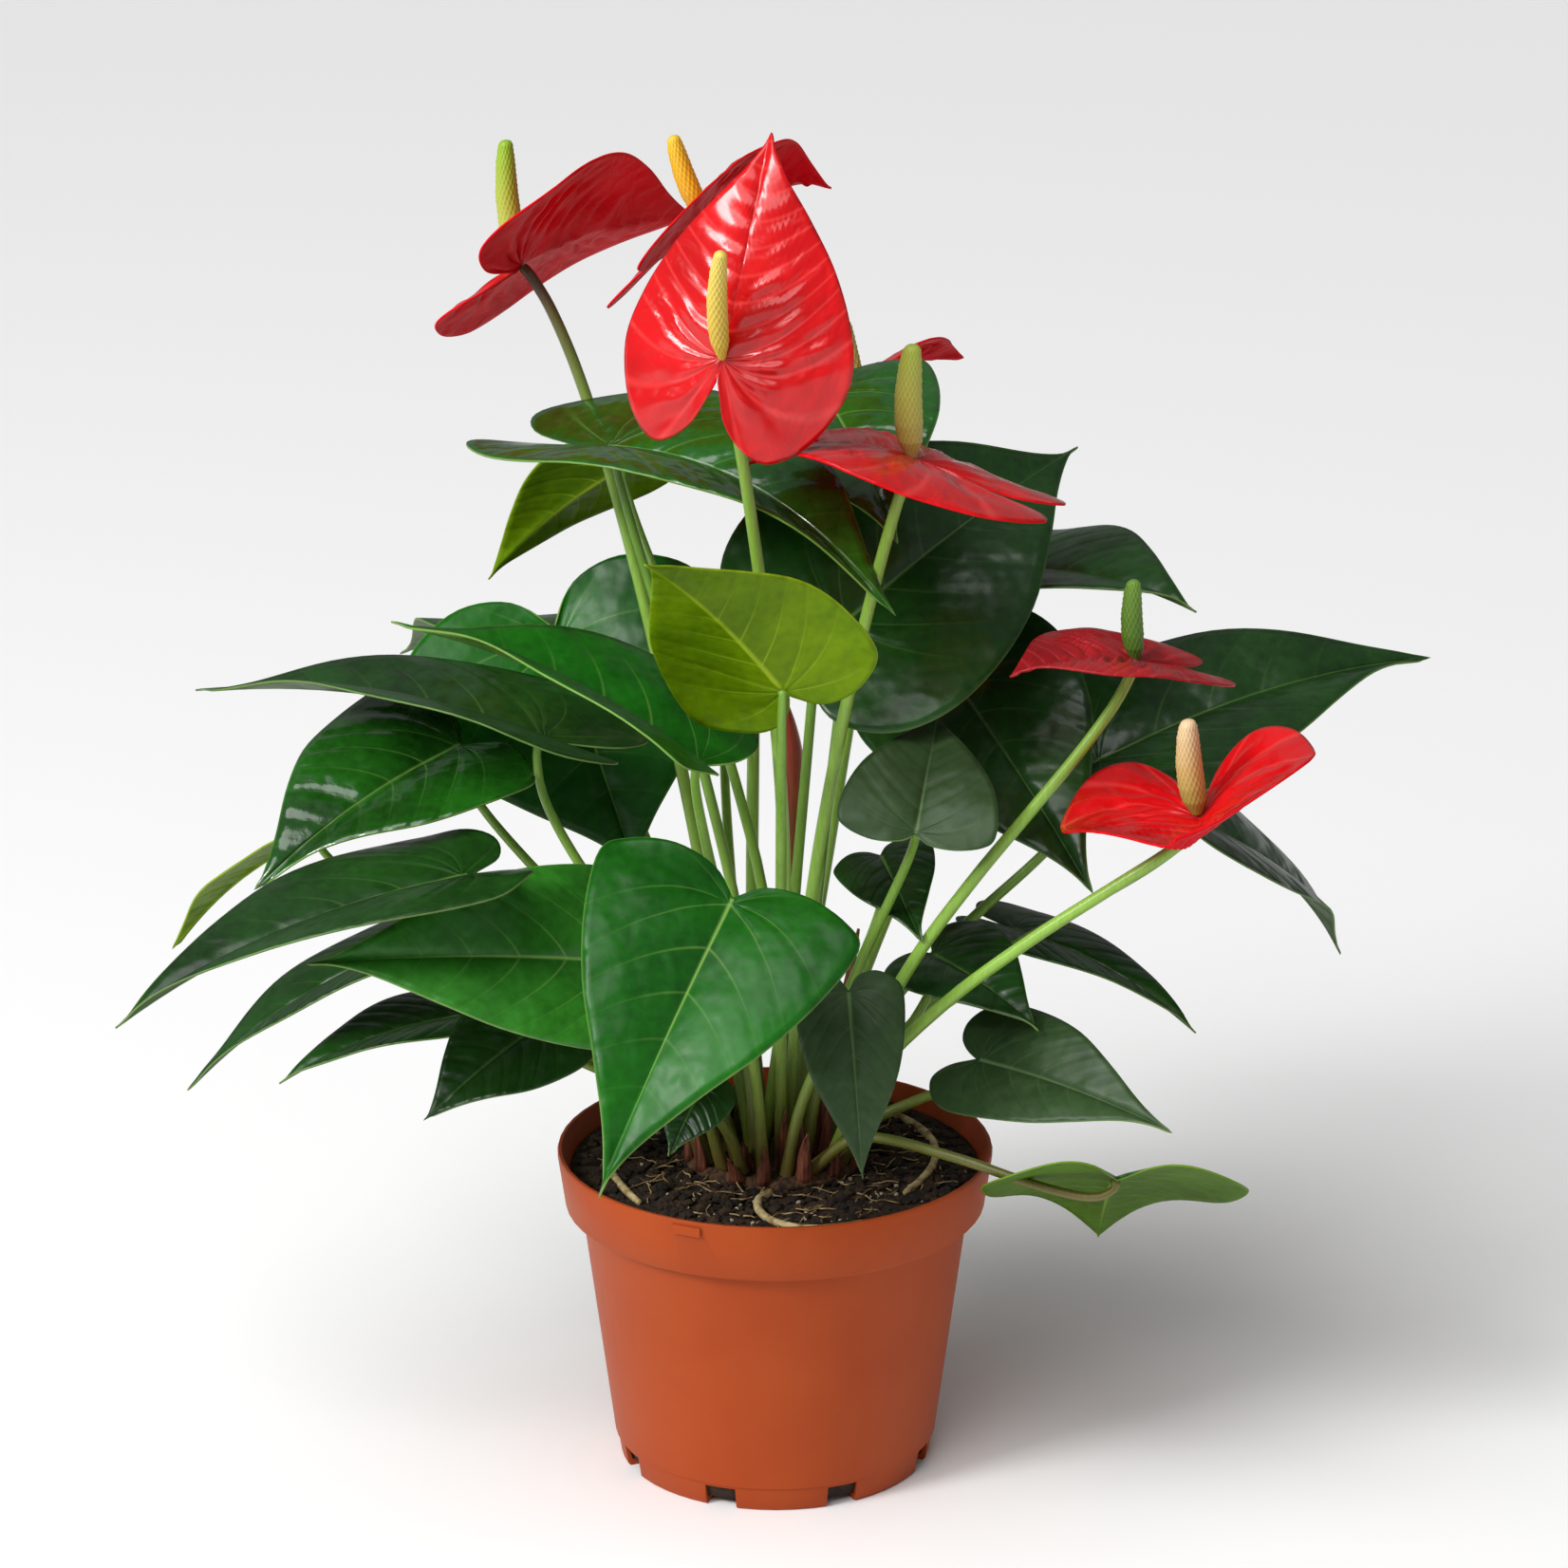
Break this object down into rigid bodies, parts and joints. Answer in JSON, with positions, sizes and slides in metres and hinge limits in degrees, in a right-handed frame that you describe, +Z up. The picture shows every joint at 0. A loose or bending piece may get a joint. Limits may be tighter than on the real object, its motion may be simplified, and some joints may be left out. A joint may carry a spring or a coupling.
{
  "type": "potted anthurium",
  "caption": "A bushy potted plant with heart-shaped dark green leaves, red heart-shaped bracts with upright spikes on long stalks, and a terracotta plastic pot",
  "frame": {"origin": "Middle of the flat underside of the pot, on the surface it stands on", "axes": "+Z up along the pot's own axis; -Y is the plant's front, the side its large front leaf hangs over; +X is to the right seen from the front"},
  "size_m": [0.485, 0.338, 0.5223],
  "materials": {
    "terracotta_plastic": "thin moulded plastic, terracotta coloured, satin",
    "potting_soil": "moist dark peat with pale fibres and grains",
    "stem_base_fibre": "brown fibrous stem bases",
    "leaf_mature": "thick dark green leaf with a satin sheen",
    "leaf_green": "thick mid green leaf with a satin sheen",
    "leaf_young": "young yellow-green leaf",
    "flower_stalk": "smooth light green stalk",
    "spathe_red": "waxy glossy red bract, quilted between its veins",
    "spadix_yellow": "fine bumpy spike, cream to yellow",
    "papery_sheath": "dry reddish brown sheath",
    "rolled_spathe": "young bract, still rolled, dull red",
    "aerial_root": "pale tan woody root"
  },
  "bodies": {
    "root": {"pot": "terracotta_plastic", "soil": "potting_soil", "crown": "stem_base_fibre", "leaf_01": "leaf_green", "leaf_02": "leaf_green", "leaf_03": "leaf_young", "leaf_04": "leaf_mature", "leaf_05": "leaf_mature", "leaf_06": "leaf_green", "leaf_07": "leaf_mature", "leaf_08": "leaf_young", "leaf_09": "leaf_mature", "leaf_10": "leaf_mature", "leaf_11": "leaf_mature", "leaf_12": "leaf_mature", "leaf_13": "leaf_mature", "leaf_14": "leaf_mature", "leaf_15": "leaf_mature", "leaf_16": "leaf_mature", "leaf_17": "leaf_green", "leaf_18": "leaf_young", "leaf_19": "leaf_mature", "leaf_20": "leaf_mature", "leaf_21": "leaf_mature", "leaf_22": "leaf_green", "leaf_23": "leaf_mature", "leaf_24": "leaf_green", "leaf_25": "leaf_mature", "leaf_26": "leaf_young", "leaf_27": "leaf_mature", "leaf_28": "leaf_mature", "leaf_29": "leaf_mature", "leaf_30": "leaf_mature", "peduncle_1": "flower_stalk", "spathe_1": "spathe_red", "spadix_1": "spadix_yellow", "peduncle_2": "flower_stalk", "spathe_2": "spathe_red", "spadix_2": "spadix_yellow", "peduncle_3": "flower_stalk", "spathe_3": "spathe_red", "spadix_3": "spadix_yellow", "peduncle_4": "flower_stalk", "spathe_4": "spathe_red", "spadix_4": "spadix_yellow", "peduncle_5": "flower_stalk", "spathe_5": "spathe_red", "spadix_5": "spadix_yellow", "peduncle_6": "flower_stalk", "spathe_6": "spathe_red", "spadix_6": "spadix_yellow", "peduncle_7": "flower_stalk", "spathe_7": "spathe_red", "spadix_7": "spadix_yellow", "sheath_1": "papery_sheath", "sheath_2": "papery_sheath", "bud": "rolled_spathe", "root_front": "aerial_root", "root_right": "aerial_root", "root_left": "aerial_root"}
  },
  "joints": []
}
